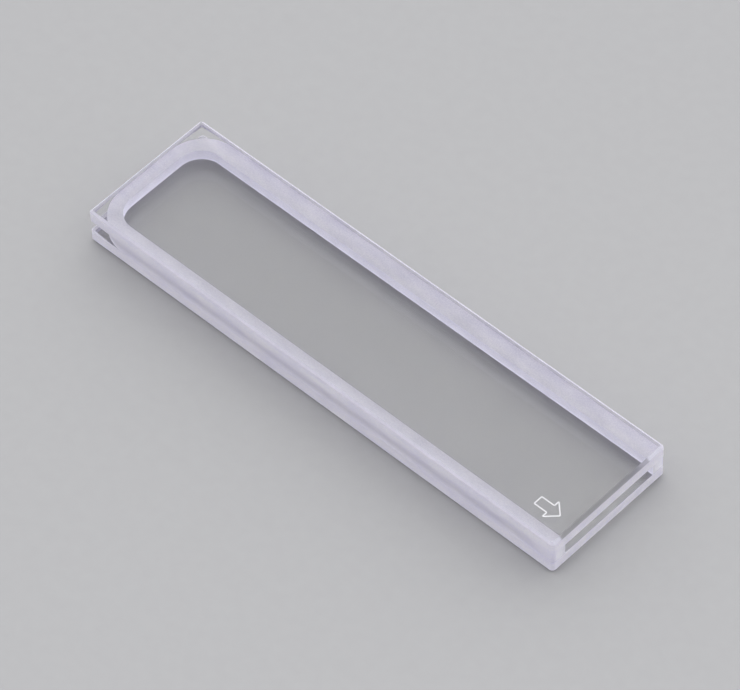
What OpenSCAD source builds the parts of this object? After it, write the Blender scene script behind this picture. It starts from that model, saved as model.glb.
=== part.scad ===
// Short-path cuvette: two polished windows fused to a U-shaped spacer.
// It lies on its lower window. The closed end is at -X and the mouth at +X.

/* [Cell] */
// Length from the closed end to the mouth
cell_length = 48; // [20:0.5:80]
// Width across the windows, which a cell holder grips
cell_width = 12.5; // [8:0.5:25]
// Light path: the gap between the two windows
path_length = 1; // [0.5:0.1:5]
// Thickness of each window
window_thickness = 1.25; // [0.8:0.05:3]

/* [Spacer] */
// Wall along each long side of the cavity
side_wall = 1.35; // [0.8:0.05:2.5]
// Wall across the closed end of the cavity
end_wall = 1.05; // [0.8:0.05:4]
// Radius of the cavity's two corners at the closed end
cavity_radius = 2.1; // [0.3:0.1:2.5]
// Radius of the spacer's two outer corners at the closed end
spacer_radius = 3.3; // [0.5:0.1:3.5]

/* [Edges] */
// Bevel along the long edges and the closed-end edge of each outer face
edge_bevel = 0.15; // [0.05:0.05:0.4]
// Larger bevel along the mouth edge of each outer face
mouth_bevel = 0.25; // [0.05:0.05:0.4]
// Bevel under each window corner that stands past the spacer
corner_bevel = 0.12; // [0.04:0.02:0.2]
// Radius of the upright edges at the closed end
closed_end_radius = 0.25; // [0.1:0.05:0.5]
// Radius of the upright edges at the mouth
mouth_end_radius = 0.35; // [0.1:0.05:0.5]

/* [Hidden] */
$fn = 64;
// Distance by which a cutter runs past the face that it cuts
overrun = 1;
cavity_length = cell_length - end_wall;
cavity_width = cell_width - 2 * side_wall;
upper_window_z = window_thickness + path_length;
// The corner bevels stop where the spacer's curve comes this near to the edge
bevel_reach = spacer_radius - sqrt(2 * spacer_radius * corner_bevel - pow(corner_bevel, 2));

// Rectangle centred on the origin, with back_radius on its -X corners and front_radius on its +X corners
module rounded_rectangle(length, width, back_radius, front_radius) {
    difference() {
        square([length, width], center = true);
        for (across = [0, 1])
            mirror([0, across]) {
                translate([length / 2, width / 2]) corner_cut(front_radius);
                translate([-length / 2, width / 2]) mirror([1, 0]) corner_cut(back_radius);
            }
    }
}

// What a corner at the origin loses when it is rounded; a radius of 0 leaves it sharp
module corner_cut(radius) {
    if (radius > 0)
        difference() {
            translate([-radius, -radius]) square(radius + overrun);
            translate([-radius, -radius]) circle(radius);
        }
}

// Cutter for a 45 degree bevel along X, from x = start to x = end, on the edge at y = 0, z = 0
module bevel_cutter(start, end, bevel) {
    reach = bevel + overrun;
    translate([start, 0, 0])
        rotate([90, 0, 90])
            linear_extrude(end - start)
                polygon([[-reach, overrun], [overrun, -reach], [overrun, overrun]]);
}

// Bevels of a window's outer face, at z = window_thickness
module outer_bevels() {
    half_length = cell_length / 2 + overrun;
    half_width = cell_width / 2 + overrun;
    translate([0, 0, window_thickness]) {
        for (across = [0, 1])
            mirror([0, across, 0])
                translate([0, cell_width / 2, 0]) bevel_cutter(-half_length, half_length, edge_bevel);
        translate([cell_length / 2, 0, 0])
            rotate([0, 0, -90]) bevel_cutter(-half_width, half_width, mouth_bevel);
        translate([-cell_length / 2, 0, 0])
            rotate([0, 0, 90]) bevel_cutter(-half_width, half_width, edge_bevel);
    }
}

// Bevels of a window's inner face, at z = 0, at the two corners that stand past the spacer
module overhang_bevels() {
    for (across = [0, 1])
        mirror([0, across, 0])
            translate([-cell_length / 2, cell_width / 2, 0])
                mirror([0, 0, 1]) {
                    bevel_cutter(-overrun, bevel_reach, corner_bevel);
                    rotate([0, 0, 90]) bevel_cutter(-bevel_reach, overrun, corner_bevel);
                }
}

// One window with its inner face at z = 0 and its outer face up
module window() {
    difference() {
        linear_extrude(window_thickness)
            rounded_rectangle(cell_length, cell_width, closed_end_radius, mouth_end_radius);
        outer_bevels();
        overhang_bevels();
    }
}

// Inner outline of the spacer: rounded at the closed end, and run out through the mouth
module cavity_outline() {
    radius = min(cavity_radius, cavity_width / 2);
    translate([(end_wall + overrun) / 2, 0])
        rounded_rectangle(cavity_length + overrun, cavity_width, radius, 0);
}

module lower_window() {
    color([0.86, 0.9, 0.96, 0.35])
        translate([0, 0, window_thickness]) mirror([0, 0, 1]) window();
}

module spacer() {
    color([0.8, 0.8, 0.85])
        translate([0, 0, window_thickness])
            linear_extrude(path_length)
                difference() {
                    rounded_rectangle(cell_length, cell_width, spacer_radius, mouth_end_radius);
                    cavity_outline();
                }
}

module upper_window() {
    color([0.86, 0.9, 0.96, 0.35])
        translate([0, 0, upper_window_z]) window();
}

lower_window();
spacer();
upper_window();
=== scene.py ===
"""A short-path cell of fused quartz, lying on its lower window on a pale bench."""

from math import cos, radians, sin

import bpy
import numpy as np
from mathutils import Matrix, Vector


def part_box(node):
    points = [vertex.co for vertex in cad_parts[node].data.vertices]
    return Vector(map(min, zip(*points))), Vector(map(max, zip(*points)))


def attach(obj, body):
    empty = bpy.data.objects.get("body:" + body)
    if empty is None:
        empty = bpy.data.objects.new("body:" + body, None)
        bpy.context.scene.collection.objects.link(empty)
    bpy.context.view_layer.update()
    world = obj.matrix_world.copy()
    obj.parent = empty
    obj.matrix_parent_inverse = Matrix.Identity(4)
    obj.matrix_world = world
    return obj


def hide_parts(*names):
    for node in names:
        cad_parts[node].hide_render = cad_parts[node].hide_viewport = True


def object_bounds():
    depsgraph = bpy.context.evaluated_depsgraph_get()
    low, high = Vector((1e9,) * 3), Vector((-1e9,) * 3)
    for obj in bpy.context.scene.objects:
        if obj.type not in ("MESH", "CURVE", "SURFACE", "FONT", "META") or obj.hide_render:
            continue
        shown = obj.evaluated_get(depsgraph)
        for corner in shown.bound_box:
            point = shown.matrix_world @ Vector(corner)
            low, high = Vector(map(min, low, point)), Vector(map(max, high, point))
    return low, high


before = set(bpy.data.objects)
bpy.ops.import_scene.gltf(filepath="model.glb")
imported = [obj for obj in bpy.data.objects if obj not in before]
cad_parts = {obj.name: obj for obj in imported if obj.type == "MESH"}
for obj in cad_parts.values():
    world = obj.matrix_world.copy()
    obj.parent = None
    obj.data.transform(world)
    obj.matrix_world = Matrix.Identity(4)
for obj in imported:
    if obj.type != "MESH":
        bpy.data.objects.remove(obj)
cad_low, cad_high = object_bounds()

# ---------------------------------------------------------------------------
# Windows. Two equal plates of fused quartz. Their large faces are polished
# until they are optically flat. Their narrow sides and bevels are left ground,
# so that a finger can hold the cell there without marking the light's path.
# ---------------------------------------------------------------------------
MM = 0.001
EDGE_BEVEL = 0.2 * MM
MOUTH_BEVEL = 0.25 * MM
CORNER_BEVEL = 0.12 * MM
CORNER_BEVEL_REACH = 2.4 * MM
SEAM_BEVEL = 0.02 * MM
LAPPED_FROM = -5.35 * MM  # between the walls, the mouth bevel is lapped half clear from this y
LAPPED_TO = 4.6 * MM  # to this one
CLOSED_END_RADIUS = 0.25 * MM
MOUTH_END_RADIUS = 0.35 * MM
ARC_POINTS = 13
SIDE_POINTS = 60
SHARP_ANGLE = radians(30)


def plate_outline(low, high):
    """Ring of points round a plate, counter-clockwise from above, and the outward normal at each.

    Each corner is a quarter circle: its centre plus the radius times (cosine, sine) of a turning
    angle. Between two corners the points lie on a straight line, and they crowd towards its ends
    by the cosine of their share of it.
    """
    quarter = np.array([-0.5, 0.0, 0.5, 1.0])[:, None] * np.pi
    turn = quarter + np.linspace(0, np.pi / 2, ARC_POINTS)
    normal = np.stack([np.cos(turn), np.sin(turn)], axis=-1)
    corner = np.array([[high.x, low.y], [high.x, high.y], [low.x, high.y], [low.x, low.y]])
    radius = np.repeat([MOUTH_END_RADIUS, CLOSED_END_RADIUS], 2)[:, None]
    centre = corner - radius * np.array([[1, -1], [1, 1], [-1, 1], [-1, -1]])
    arc = centre[:, None] + radius[:, None] * normal
    share = (0.5 - 0.5 * np.cos(np.linspace(0, np.pi, SIDE_POINTS + 2)))[1:-1, None]
    side = arc[:, -1:] * (1 - share) + np.roll(arc, -1, axis=0)[:, :1] * share
    side_normal = np.repeat(normal[:, -1:], SIDE_POINTS, axis=1)
    ring = np.concatenate([arc, side], axis=1).reshape(-1, 2)
    return ring, np.concatenate([normal, side_normal], axis=1).reshape(-1, 2)


def window_rows(low, high, inner_z, outer_z):
    """Four rings from a window's inner face to its outer face, each the plate's outline drawn in
    along its normal.

    The inner face is drawn in by the trace of a bevel. It grows to the full corner bevel where
    the corners of the closed end stand past the spacer, by three squares of the point's nearness
    to the corner less two cubes. The outer face is drawn in by the edge bevel, which grows to the
    mouth bevel with the square of the normal's +X part. The two rings between them are not drawn
    in.
    """
    ring, normal = plate_outline(low, high)
    past_corner = np.maximum(ring[:, 0] - low.x, high.y - np.abs(ring[:, 1]))
    near = np.clip(1 - past_corner / CORNER_BEVEL_REACH, 0, 1)
    inner = SEAM_BEVEL + (CORNER_BEVEL - SEAM_BEVEL) * near * near * (3 - 2 * near)
    outer = EDGE_BEVEL + (MOUTH_BEVEL - EDGE_BEVEL) * np.clip(normal[:, 0], 0, 1) ** 2
    outwards = np.sign(outer_z - inner_z)
    zero = np.zeros_like(inner)
    drawn_in = np.stack([inner, zero, zero, outer])
    height = np.stack(
        [
            inner_z + zero,
            inner_z + outwards * inner,
            outer_z - outwards * outer,
            outer_z + zero,
        ]
    )
    return np.concatenate([ring - drawn_in[..., None] * normal, height[..., None]], axis=-1)


def loft_faces(row_count, point_count, rows_join=False):
    """Quads between neighbouring rows of a grid of points, each row a closed ring.

    A quad's corners are the same two neighbouring points in a row and in the next, and the first
    row follows the last where the rows join.
    """
    row = np.arange(row_count if rows_join else row_count - 1)[:, None]
    point = np.arange(point_count)
    following = (point + 1) % point_count
    start, ahead = row * point_count, (row + 1) % row_count * point_count
    corners = [start + point, start + following, ahead + following, ahead + point]
    return np.stack(corners, axis=-1).reshape(-1, 4)


def solid_piece(name, points, faces, face_material, materials):
    """Closed mesh from points and faces, at the origin of the frame, and smooth but for the edges
    of more than the sharp angle."""
    mesh = bpy.data.meshes.new(name)
    mesh.from_pydata(points, [], faces)
    for material in materials:
        mesh.materials.append(material)
    mesh.polygons.foreach_set("material_index", face_material)
    mesh.polygons.foreach_set("use_smooth", np.ones(len(faces), bool))
    mesh.set_sharp_from_angle(angle=SHARP_ANGLE)
    mesh.validate()
    mesh.update()
    piece = bpy.data.objects.new(name, mesh)
    bpy.context.scene.collection.objects.link(piece)
    return piece


def colour(srgb):
    """Linear colour of an sRGB hex value: a power of 2.4 above the short straight dark part."""
    channels = np.array([int(srgb[i : i + 2], 16) for i in (1, 3, 5)]) / 255
    linear = np.where(channels <= 0.04045, channels / 12.92, ((channels + 0.055) / 1.055) ** 2.4)
    return (*linear.tolist(), 1.0)


def scale_for(*size):
    """Scale that draws a pattern at a size given along X, Y and Z: one over each length."""
    return tuple(1 / length for length in size)


def add_node(owner, kind, settings=None, **inputs):
    """New node of a kind in a material or a world. An input's keyword is its socket's name with
    underscores, or an underscore and its number. Its value is a plain one, or a node and the name
    of the output that is linked to it."""
    tree = owner.node_tree
    node = tree.nodes.new(kind)
    for setting, value in (settings or {}).items():
        setattr(node, setting, value)
    for keyword, value in inputs.items():
        number = keyword[1:]
        socket = node.inputs[int(number) if number.isdigit() else keyword.replace("_", " ")]
        if isinstance(value, tuple) and isinstance(value[0], bpy.types.Node):
            tree.links.new(value[0].outputs[value[1]], socket)
        else:
            socket.default_value = value
    return node


def new_material(name):
    """Empty node material, and its output node."""
    material = bpy.data.materials.new(name)
    material.use_nodes = True
    material.node_tree.nodes.clear()
    return material, material.node_tree.nodes.new("ShaderNodeOutputMaterial")


QUARTZ_INDEX = 1.458
STREAK_SIZE = (16.7 * MM, 3.03 * MM, 3.03 * MM)


def polished_fused_quartz():
    """Optically polished fused quartz: colourless and as smooth as a mirror, so what lies under
    it shows clearly. Wiping leaves streaks about 3 mm wide along it, which dim it by under one
    part in fifty."""
    material, output = new_material("polished_fused_quartz")
    place = add_node(material, "ShaderNodeTexCoord")
    along = add_node(
        material,
        "ShaderNodeMapping",
        Vector=(place, "Object"),
        Scale=scale_for(*STREAK_SIZE),
    )
    wiping = add_node(
        material,
        "ShaderNodeTexNoise",
        Vector=(along, "Vector"),
        Scale=1.0,
        Detail=3.0,
    )
    tone = add_node(material, "ShaderNodeValToRGB", Fac=(wiping, "Fac"))
    tone.color_ramp.elements[0].color = colour("#FBFBFB")
    tone.color_ramp.elements[1].color = colour("#FFFFFF")
    shader = add_node(
        material,
        "ShaderNodeBsdfPrincipled",
        Base_Color=(tone, "Color"),
        Roughness=0.0,
        IOR=QUARTZ_INDEX,
        Transmission_Weight=1.0,
    )
    material.node_tree.links.new(shader.outputs["BSDF"], output.inputs["Surface"])
    return material


GRIT_SIZE = 0.125 * MM  # real grit is about 0.03 mm, and it is drawn coarser so that it shows
GRIT_SHARE = 0.55
CLOUD_SIZE = (2.22 * MM, 0.833 * MM, 0.833 * MM)
MOTTLE_RANGE = (0.35, 0.65)
PIT_DEPTH = 0.02 * MM
PIT_ROUGHNESS = (0.52, 0.74)


def ground_fused_quartz(name, dark, light, passed, shades=(), share_at=None, least_at=None):
    """Fused quartz ground with loose grit: a frosted skin of tiny pits, which scatters light white
    with a trace of violet. A share of the light is passed, so that a lamp behind the skin makes
    it glow. The wheel leaves fainter cloudy tones about 2 mm long. Shades are pairs of a share,
    which share_at works out for each place, and of a grey of painted shade that dims the skin
    there, for light that is lost inside. The painted grey is nowhere darker than the level that
    least_at works out."""
    material, output = new_material(name)
    place = add_node(material, "ShaderNodeTexCoord")
    grit = add_node(
        material,
        "ShaderNodeTexNoise",
        Vector=(place, "Object"),
        Scale=1 / GRIT_SIZE,
        Detail=2.0,
    )
    along = add_node(
        material,
        "ShaderNodeMapping",
        Vector=(place, "Object"),
        Scale=scale_for(*CLOUD_SIZE),
    )
    cloud = add_node(
        material,
        "ShaderNodeTexNoise",
        Vector=(along, "Vector"),
        Scale=1.0,
        Detail=5.0,
    )
    blend = add_node(
        material,
        "ShaderNodeMix",
        {"data_type": "FLOAT"},
        Factor=GRIT_SHARE,
        A=(cloud, "Fac"),
        B=(grit, "Fac"),
    )
    tone = add_node(material, "ShaderNodeValToRGB", Fac=(blend, "Result"))
    for element, position, tint in zip(tone.color_ramp.elements, MOTTLE_RANGE, (dark, light)):
        element.position = position
        element.color = colour(tint)
    skin_colour = (tone, "Color")
    # Painted shade: greys by place that darken the skin's colour.
    if shades:
        share = share_at(material, place)
        shade = add_node(material, "ShaderNodeValToRGB", Fac=(share, "Result"))
        while len(shade.color_ramp.elements) < len(shades):
            shade.color_ramp.elements.new(1.0)
        for element, (position, grey) in zip(shade.color_ramp.elements, shades):
            element.position = position
            element.color = colour(grey)
        dimming = (shade, "Color")
        if least_at:
            lifted = add_node(
                material,
                "ShaderNodeMath",
                {"operation": "MAXIMUM"},
                _0=(shade, "Color"),
                _1=(least_at(material, place), "Result"),
            )
            dimming = (lifted, "Value")
        dimmed = add_node(
            material,
            "ShaderNodeVectorMath",
            {"operation": "MULTIPLY"},
            _0=(tone, "Color"),
            _1=dimming,
        )
        skin_colour = (dimmed, "Vector")
    rough = add_node(
        material,
        "ShaderNodeMapRange",
        Value=(grit, "Fac"),
        To_Min=PIT_ROUGHNESS[0],
        To_Max=PIT_ROUGHNESS[1],
    )
    pits = add_node(
        material,
        "ShaderNodeBump",
        Height=(grit, "Fac"),
        Strength=0.35,
        Distance=PIT_DEPTH,
    )
    scattered = add_node(
        material,
        "ShaderNodeBsdfPrincipled",
        Base_Color=skin_colour,
        Roughness=(rough, "Result"),
        Normal=(pits, "Normal"),
        IOR=QUARTZ_INDEX,
    )
    glow = add_node(material, "ShaderNodeBsdfTranslucent", Color=skin_colour)
    skin = add_node(
        material,
        "ShaderNodeMixShader",
        _0=passed,
        _1=(scattered, "BSDF"),
        _2=(glow, "BSDF"),
    )
    material.node_tree.links.new(skin.outputs["Shader"], output.inputs["Surface"])
    return material


# Painted shade up the sides, a grey for each share of the cell's height: least at the bench,
# darkest in a soft band at the joints' height, and a little near the top.
BAND_PAINTED_SHADE = "#E3E3E3"
SIDE_PAINTED_SHADES = (
    (0.0, "#FFFFFF"),
    (0.34, "#FBFBFB"),
    (0.52, BAND_PAINTED_SHADE),
    (0.66, "#EBEBEB"),
    (0.8, "#F2F2F2"),
    (1.0, "#F6F6F6"),
)


def share_of_height(material, place):
    """Share of the cell's height, 0 at the bench and 1 at the top."""
    apart = add_node(material, "ShaderNodeSeparateXYZ", Vector=(place, "Object"))
    return add_node(
        material,
        "ShaderNodeMapRange",
        Value=(apart, "Z"),
        From_Min=cad_low.z,
        From_Max=cad_high.z,
    )


# The painted dark band fades out between these two places along the cell, up to a lighter painted
# grey.
BAND_FADES_FROM = 20.1 * MM
BAND_FADES_TO = 23.4 * MM
FADED_PAINTED_SHADE = "#F5F5F5"


def least_painted_shade_by_mouth(material, place):
    """Least level of the sides' painted shade, which rises from the painted dark band's own level
    to one that hides the band, over the last few millimetres before the mouth."""
    apart = add_node(material, "ShaderNodeSeparateXYZ", Vector=(place, "Object"))
    return add_node(
        material,
        "ShaderNodeMapRange",
        Value=(apart, "X"),
        From_Min=BAND_FADES_FROM,
        From_Max=BAND_FADES_TO,
        To_Min=colour(BAND_PAINTED_SHADE)[0],
        To_Max=colour(FADED_PAINTED_SHADE)[0],
    )


STROKE_SIZE = (0.333 * MM, 3.33 * MM, 0.333 * MM)


def lapped_fused_quartz():
    """Fused quartz lapped with fine grit after grinding, in strokes about 3 mm long: half clear,
    with a blurred sheen. Its grey tint is painted shade, which darkens the half-clear bevel."""
    material, output = new_material("lapped_fused_quartz")
    place = add_node(material, "ShaderNodeTexCoord")
    along = add_node(
        material,
        "ShaderNodeMapping",
        Vector=(place, "Object"),
        Scale=scale_for(*STROKE_SIZE),
    )
    strokes = add_node(
        material,
        "ShaderNodeTexNoise",
        Vector=(along, "Vector"),
        Scale=1.0,
        Detail=3.0,
    )
    # Painted shade: a grey tint that darkens the half-clear bevel.
    tone = add_node(material, "ShaderNodeValToRGB", Fac=(strokes, "Fac"))
    tone.color_ramp.elements[0].color = colour("#A09FA4")
    tone.color_ramp.elements[1].color = colour("#B4B3B8")
    shader = add_node(
        material,
        "ShaderNodeBsdfPrincipled",
        Base_Color=(tone, "Color"),
        Roughness=0.38,
        IOR=QUARTZ_INDEX,
        Transmission_Weight=0.85,
    )
    material.node_tree.links.new(shader.outputs["BSDF"], output.inputs["Surface"])
    return material


polished = polished_fused_quartz()
# The sides glow, with a soft dark band of painted shade at the joints' height, for light lost in
# the spacer. The painted band fades by the open mouth. The bevels pass little light and look
# greyer, as their tone is painted shade that dims the light they catch.
ground = ground_fused_quartz(
    "ground_quartz_side",
    "#EDEBFB",
    "#FEFCFF",
    0.5,
    SIDE_PAINTED_SHADES,
    share_of_height,
    least_painted_shade_by_mouth,
)
# Painted shade: the bevels' darker tone dims the light that their slant catches.
bevelled = ground_fused_quartz("ground_quartz_bevel", "#BAB8C5", "#C6C4D1", 0.1)
lapped = lapped_fused_quartz()
POLISHED, GROUND, BEVELLED, LAPPED = range(4)

for node, outer_is_up in (("lower_window", False), ("upper_window", True)):
    low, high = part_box(node)
    inner_z, outer_z = (low.z, high.z) if outer_is_up else (high.z, low.z)
    rows = window_rows(low, high, inner_z, outer_z)
    row_count, point_count = rows.shape[:2]
    sides = loft_faces(row_count, point_count)
    inner_face = np.arange(point_count)[::-1]
    outer_face = np.arange(point_count) + (row_count - 1) * point_count
    faces = [*sides.tolist(), inner_face.tolist(), outer_face.tolist()]
    if not outer_is_up:
        faces = [face[::-1] for face in faces]
    side_material = np.repeat([BEVELLED, GROUND, BEVELLED], point_count)
    outer_x, outer_y = rows[-1, :, 0], rows[-1, :, 1]
    at_mouth = outer_x > high.x - 1.5 * MOUTH_BEVEL  # the mouth's edge lies one bevel in
    at_mouth &= (outer_y > LAPPED_FROM) & (outer_y < LAPPED_TO)
    side_material[-point_count:][at_mouth & np.roll(at_mouth, -1)] = LAPPED
    window = solid_piece(
        f"{node}_plate",
        rows.reshape(-1, 3).tolist(),
        faces,
        np.append(side_material, [POLISHED, POLISHED]),
        [polished, ground, bevelled, lapped],
    )
    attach(window, "root")
    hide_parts(node)

# ---------------------------------------------------------------------------
# Spacer. One U-shaped piece of fused quartz, ground all over, which holds the
# windows 1 mm apart and walls in the liquid on three sides. It is fused to both
# windows, with no gap and no glue, and a thin bead of glass lines each joint.
# ---------------------------------------------------------------------------
SIDE_WALL = 1.35 * MM
END_WALL = 1.05 * MM
CAVITY_RADIUS = 2.1 * MM
SPACER_RADIUS = 3.3 * MM
BEAD = 0.06 * MM
BEAD_POINTS = 5
FUSED_DEPTH = 0.01 * MM  # how far its faces lie inside the windows' glass, so that no air shows
END_POINTS = 8


def u_path(mouth_x, side_y, end_x, mouth_depth, corner_radius):
    """Points along a U from its mouth on the +Y side, round the closed end at -X, to its mouth on
    the -Y side.

    Each half runs over a quarter ellipse at the mouth, as long as the mouth's radius and as deep
    as mouth_depth, then straight along the side, over a quarter circle at the corner and straight
    to the middle of the closed end.
    """
    turn = np.linspace(0, np.pi / 2, ARC_POINTS)
    share = (0.5 - 0.5 * np.cos(np.linspace(0, np.pi, SIDE_POINTS + 2)))[1:-1]
    straight_x = mouth_x - MOUTH_END_RADIUS
    mouth_x_run = straight_x + MOUTH_END_RADIUS * np.cos(turn)
    mouth_y_run = side_y - mouth_depth * (1 - np.sin(turn))
    corner_x = end_x + corner_radius * (1 - np.sin(turn))
    corner_y = side_y - corner_radius * (1 - np.cos(turn))
    side_x = straight_x + (corner_x[0] - straight_x) * share
    end_y = corner_y[-1] * np.linspace(1, 0, END_POINTS + 1)[1:]
    x = np.concatenate([mouth_x_run, side_x, corner_x, np.full(end_y.size, end_x)])
    y = np.concatenate([mouth_y_run, np.full(side_x.size, side_y), corner_y, end_y])
    half = np.stack([x, y], axis=-1)
    return np.concatenate([half, half[-2::-1] * (1, -1)])


def spacer_section(low_z, high_z):
    """The cavity's side of the spacer's section, as pairs of how far each point stands into the
    cavity and its height.

    It runs from the lower joint up the cavity's wall to the upper joint. A quarter circle whose
    centre stands one bead's width out from both the wall and the window makes each bead hollow.
    """
    turn = np.linspace(0, np.pi / 2, BEAD_POINTS)
    bead = np.stack([BEAD * (1 - np.sin(turn)), BEAD * (1 - np.cos(turn))], axis=-1)
    bead = np.concatenate([[[BEAD, -FUSED_DEPTH]], bead])
    return np.concatenate([bead + (0, low_z), (bead * (1, -1) + (0, high_z))[::-1]])


low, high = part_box("spacer")
outer_wall = u_path(
    high.x - FUSED_DEPTH,
    high.y - FUSED_DEPTH,
    low.x + FUSED_DEPTH,
    MOUTH_END_RADIUS,
    SPACER_RADIUS,
)
joint_heights = (high.z + FUSED_DEPTH, low.z - FUSED_DEPTH)
columns = [np.insert(outer_wall, 2, z, axis=1) for z in joint_heights]
for stands_in, z in spacer_section(low.z, high.z):
    wall = u_path(
        high.x - FUSED_DEPTH,
        high.y - SIDE_WALL - stands_in,
        low.x + END_WALL + stands_in,
        0.0,
        CAVITY_RADIUS - stands_in,
    )
    columns.append(np.insert(wall, 2, z, axis=1))
stations = np.stack(columns, axis=1)
station_count, section_count = stations.shape[:2]
mouth_cap = np.arange(section_count)
faces = [
    *loft_faces(station_count, section_count).tolist(),
    mouth_cap[::-1].tolist(),
    (mouth_cap + (station_count - 1) * section_count).tolist(),
]


def share_of_wall(material, place):
    """Share of a side wall's thickness, 0 at the cell's outline and 1 at the cavity. It is
    measured from the long side or from the closed end, whichever is nearer."""
    apart = add_node(material, "ShaderNodeSeparateXYZ", Vector=(place, "Object"))
    off_centre = add_node(
        material,
        "ShaderNodeMath",
        {"operation": "ABSOLUTE"},
        _0=(apart, "Y"),
    )
    from_side = add_node(
        material,
        "ShaderNodeMath",
        {"operation": "SUBTRACT"},
        _0=cad_high.y,
        _1=(off_centre, "Value"),
    )
    from_end = add_node(
        material,
        "ShaderNodeMath",
        {"operation": "SUBTRACT"},
        _0=(apart, "X"),
        _1=cad_low.x,
    )
    nearer = add_node(
        material,
        "ShaderNodeMath",
        {"operation": "MINIMUM"},
        _0=(from_side, "Value"),
        _1=(from_end, "Value"),
    )
    return add_node(
        material,
        "ShaderNodeMapRange",
        Value=(nearer, "Value"),
        From_Min=0.0,
        From_Max=SIDE_WALL,
    )


# Painted shade across the joint's band, by share of the wall's thickness: darker towards the
# cavity.
JOINT_PAINTED_SHADES = (
    (0.0, "#FFFFFF"),
    (0.3, "#FCFCFC"),
    (0.65, "#F3F3F3"),
    (1.0, "#EAEAEA"),
)
# The joint shows through the upper window as a frosted band, which painted shade dims towards
# the cavity. The bead and the cavity's wall pass little or no light, and stay white beside the
# clear glass.
joint_quartz = ground_fused_quartz(
    "ground_quartz_joint",
    "#E9E8F1",
    "#FCFBFF",
    0.35,
    JOINT_PAINTED_SHADES,
    share_of_wall,
)
bead_quartz = ground_fused_quartz("fused_quartz_bead", "#DFDDED", "#E9E7F6", 0.0)
cavity_quartz = ground_fused_quartz("ground_quartz_cavity_wall", "#E3E1F2", "#F0EEFB", 0.1)
OUTER_WALL, JOINT, BEAD_STRIP, CAVITY_WALL = range(4)
bead_strips = [BEAD_STRIP] * BEAD_POINTS
section_material = [OUTER_WALL, JOINT, *bead_strips, CAVITY_WALL, *bead_strips, JOINT]
# The outer wall takes the sides' skin, and with it their painted dark band at the joints' height.
spacer = solid_piece(
    "spacer_u",
    stations.reshape(-1, 3).tolist(),
    faces,
    np.append(np.tile(section_material, station_count - 1), [JOINT, JOINT]),
    [ground, joint_quartz, bead_quartz, cavity_quartz],
)
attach(spacer, "root")
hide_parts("spacer")

# ---------------------------------------------------------------------------
# Orientation mark. An outlined arrow towards the mouth, etched into the upper
# window beside the near wall, so that the cell goes into the beam the same way
# round each time. Etching leaves the line frosted white.
# ---------------------------------------------------------------------------
MARK_PLACE = (21.47 * MM, -3.87 * MM)
MARK_LINE = 0.1 * MM
MARK_SINK = 0.002 * MM
MARK_STAND = 0.002 * MM
HALF_ARROW = np.array([(1.1, 0), (0.15, 0.92), (0.15, 0.42), (-1.1, 0.42)]) * MM
ARROW_RADIUS = 0.1 * MM
ROUND_POINTS = 6


def rounded_loop(corners, radius):
    """Closed path through straight-sided corners, each rounded by a quadratic curve.

    The curve starts and ends one radius from the corner along its two sides, and its weights are
    the square of the share left, twice the product of both shares, and the square of the share
    passed.
    """
    to_last = np.roll(corners, 1, axis=0) - corners
    to_next = np.roll(corners, -1, axis=0) - corners
    to_last *= radius / np.linalg.norm(to_last, axis=1)[:, None]
    to_next *= radius / np.linalg.norm(to_next, axis=1)[:, None]
    start, corner, end = np.stack([corners + to_last, corners, corners + to_next])[:, :, None]
    passed = np.linspace(0, 1, ROUND_POINTS)[:, None]
    left = 1 - passed
    return (left**2 * start + 2 * left * passed * corner + passed**2 * end).reshape(-1, 2)


arrow = np.concatenate([HALF_ARROW, HALF_ARROW[:0:-1] * (1, -1)])
path = rounded_loop(arrow, ARROW_RADIUS) + MARK_PLACE
heading = np.roll(path, -1, axis=0) - np.roll(path, 1, axis=0)
heading /= np.linalg.norm(heading, axis=1)[:, None]
across = np.stack([-heading[:, 1], heading[:, 0]], axis=-1) * MARK_LINE / 2
mark_low, mark_high = cad_high.z - MARK_SINK, cad_high.z + MARK_STAND
ribbon = [
    (path + across, mark_low),
    (path - across, mark_low),
    (path - across, mark_high),
    (path + across, mark_high),
]
rings = np.stack([np.insert(line, 2, z, axis=1) for line, z in ribbon], axis=1)
faces = loft_faces(*rings.shape[:2], rows_join=True)
# Etched pits scatter light as ground ones do, so the line looks white on the clear window.
etched = ground_fused_quartz("etched_quartz", "#C6C6CA", "#D2D2D6", 0.0)
mark = solid_piece(
    "orientation_mark",
    rings.reshape(-1, 3).tolist(),
    faces.tolist(),
    np.zeros(len(faces), int),
    [etched],
)
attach(mark, "root")

# ---------------------------------------------------------------------------
# Bench. A plain pale top of matt laminate, which carries on out of view. It
# lies a hair below the cell, so that the two surfaces don't share a plane.
# ---------------------------------------------------------------------------
BENCH_GAP = 0.02 * MM
BENCH_HALF = 1500 * MM
BENCH_COLOUR = "#9A9A9C"
FLECK_SIZE = 1.11 * MM

bench_mesh = bpy.data.meshes.new("bench_top")
bench_corners = np.array([[-1, -1], [1, -1], [1, 1], [-1, 1]]) * BENCH_HALF
bench_points = np.insert(bench_corners, 2, cad_low.z - BENCH_GAP, axis=1)
bench_mesh.from_pydata(bench_points.tolist(), [], [(0, 1, 2, 3)])
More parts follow.
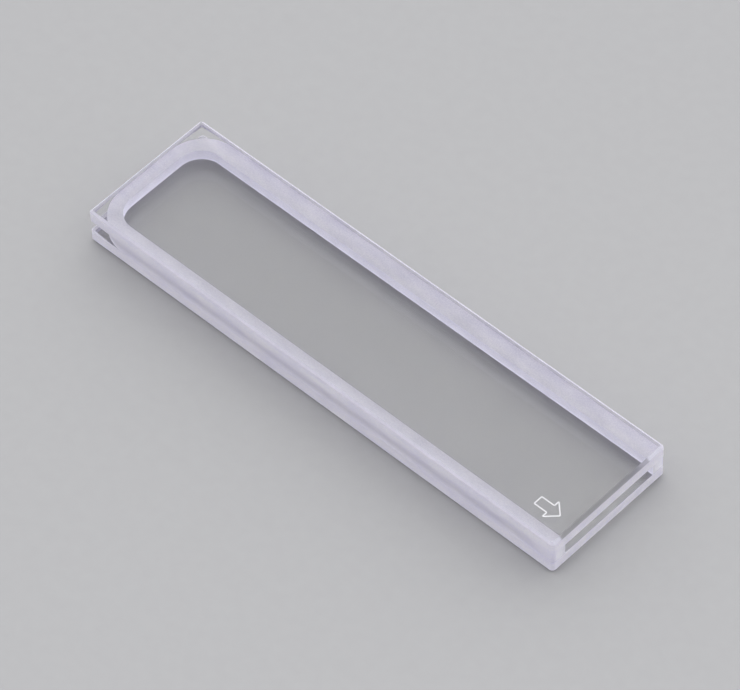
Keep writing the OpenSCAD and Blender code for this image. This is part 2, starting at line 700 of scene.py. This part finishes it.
# Matt laminate, pressed with a fine texture: an even grey with flecks too faint to draw the eye.
laminate, output = new_material("matt_laminate")
place = add_node(laminate, "ShaderNodeTexCoord")
fleck = add_node(
    laminate,
    "ShaderNodeTexNoise",
    Vector=(place, "Object"),
    Scale=1 / FLECK_SIZE,
    Detail=2.0,
)
tone = add_node(laminate, "ShaderNodeValToRGB", Fac=(fleck, "Fac"))
tone.color_ramp.elements[0].color = colour("#98989A")
tone.color_ramp.elements[1].color = colour("#9C9C9E")
shader = add_node(
    laminate,
    "ShaderNodeBsdfPrincipled",
    Base_Color=(tone, "Color"),
    Roughness=0.8,
)
laminate.node_tree.links.new(shader.outputs["BSDF"], output.inputs["Surface"])
bench_mesh.materials.append(laminate)
bench = bpy.data.objects.new("bench_top", bench_mesh)
bpy.context.scene.collection.objects.link(bench)

# ---------------------------------------------------------------------------
# Light. A white room whose light fades upwards and is stronger beyond the far
# side and the closed end, and two small soft lamps, high over the near side and
# the mouth. Neither is where the upper window would mirror it to the camera.
# ---------------------------------------------------------------------------
cycles = bpy.context.scene.cycles
cycles.blur_glossy = 0.0  # light keeps its full strength through the clear windows
cycles.max_bounces = 32
cycles.transmission_bounces = 32
cycles.diffuse_bounces = 8
cycles.glossy_bounces = 8
HORIZON_LIGHT = 2.34  # the mean strength of the room's light, level with the bench
LIGHT_SLOPE = (-0.65, 0.86, -1.4)  # what it gains towards +X, +Y and +Z
LAMPS = (  # name, place and width in metres, and power in watts
    ("near_lamp", (-0.04, -0.21, 0.45), 0.22, 0.2),
    ("mouth_lamp", (0.21, 0.02, 0.45), 0.22, 0.32),
)

world = bpy.data.worlds.new("room")
bpy.context.scene.world = world
world.use_nodes = True
world.node_tree.nodes.clear()
output = world.node_tree.nodes.new("ShaderNodeOutputWorld")
direction = add_node(world, "ShaderNodeTexCoord")
slope = add_node(
    world,
    "ShaderNodeVectorMath",
    {"operation": "DOT_PRODUCT"},
    _0=(direction, "Generated"),
    _1=LIGHT_SLOPE,
)
level = add_node(
    world,
    "ShaderNodeMath",
    {"operation": "ADD"},
    _0=(slope, "Value"),
    _1=HORIZON_LIGHT,
)
lighting = add_node(
    world,
    "ShaderNodeBackground",
    Color=(1.0, 1.0, 1.0, 1.0),
    Strength=(level, "Value"),
)
backdrop = add_node(world, "ShaderNodeBackground", Color=colour(BENCH_COLOUR), Strength=1.0)

# The camera sees a plain backdrop in place of the room's light, also in mirrors and through clear
# glass, but not by way of a matt surface.
ray = add_node(world, "ShaderNodeLightPath")
mirrored = add_node(
    world,
    "ShaderNodeMath",
    {"operation": "MAXIMUM"},
    _0=(ray, "Is Camera Ray"),
    _1=(ray, "Is Glossy Ray"),
)
through_glass = add_node(
    world,
    "ShaderNodeMath",
    {"operation": "MAXIMUM"},
    _0=(mirrored, "Value"),
    _1=(ray, "Is Transmission Ray"),
)
seen = add_node(
    world,
    "ShaderNodeMath",
    {"operation": "SUBTRACT", "use_clamp": True},
    _0=(through_glass, "Value"),
    _1=(ray, "Diffuse Depth"),
)
mixed = add_node(
    world,
    "ShaderNodeMixShader",
    _0=(seen, "Value"),
    _1=(lighting, "Background"),
    _2=(backdrop, "Background"),
)
world.node_tree.links.new(mixed.outputs["Shader"], output.inputs["Surface"])

for name, spot, size, power in LAMPS:
    lamp = bpy.data.lights.new(name, "AREA")
    lamp.shape = "DISK"
    lamp.size = size
    lamp.energy = power
    lamp_object = bpy.data.objects.new(name, lamp)
    lamp_object.location = spot
    lamp_object.rotation_euler = Vector(spot).to_track_quat("Z", "Y").to_euler()
    bpy.context.scene.collection.objects.link(lamp_object)

# ---------------------------------------------------------------------------
# Camera. A long lens looks down on the cell from the mouth's right-hand side. It
# is turned a little about its own axis.
# ---------------------------------------------------------------------------
AZIMUTH = radians(44.608)
ELEVATION = radians(51.279)
ROLL = radians(-2.040)
DISTANCE = 432.761 * MM
AIM = (-0.2147 * MM, 0.7287 * MM)  # how far its axis passes the origin, to its right and up
SENSOR_WIDTH = 36.0  # in mm, as the lens is
LENS = 276.694

back = Vector((sin(AZIMUTH) * cos(ELEVATION), -cos(AZIMUTH) * cos(ELEVATION), sin(ELEVATION)))
level_right = Vector((cos(AZIMUTH), sin(AZIMUTH), 0.0))
level_up = back.cross(level_right)
right = cos(ROLL) * level_right + sin(ROLL) * level_up
up = cos(ROLL) * level_up - sin(ROLL) * level_right
camera_data = bpy.data.cameras.new("camera")
camera_data.sensor_width = SENSOR_WIDTH
camera_data.lens = LENS
camera_data.clip_start = 10 * MM
camera_data.clip_end = 10000 * MM
camera = bpy.data.objects.new("camera", camera_data)
stand = Matrix((right, up, back)).transposed().to_4x4()
stand.translation = DISTANCE * back + AIM[0] * right + AIM[1] * up
camera.matrix_world = stand
bpy.context.scene.collection.objects.link(camera)
bpy.context.scene.camera = camera
bpy.context.scene.view_settings.view_transform = "Standard"
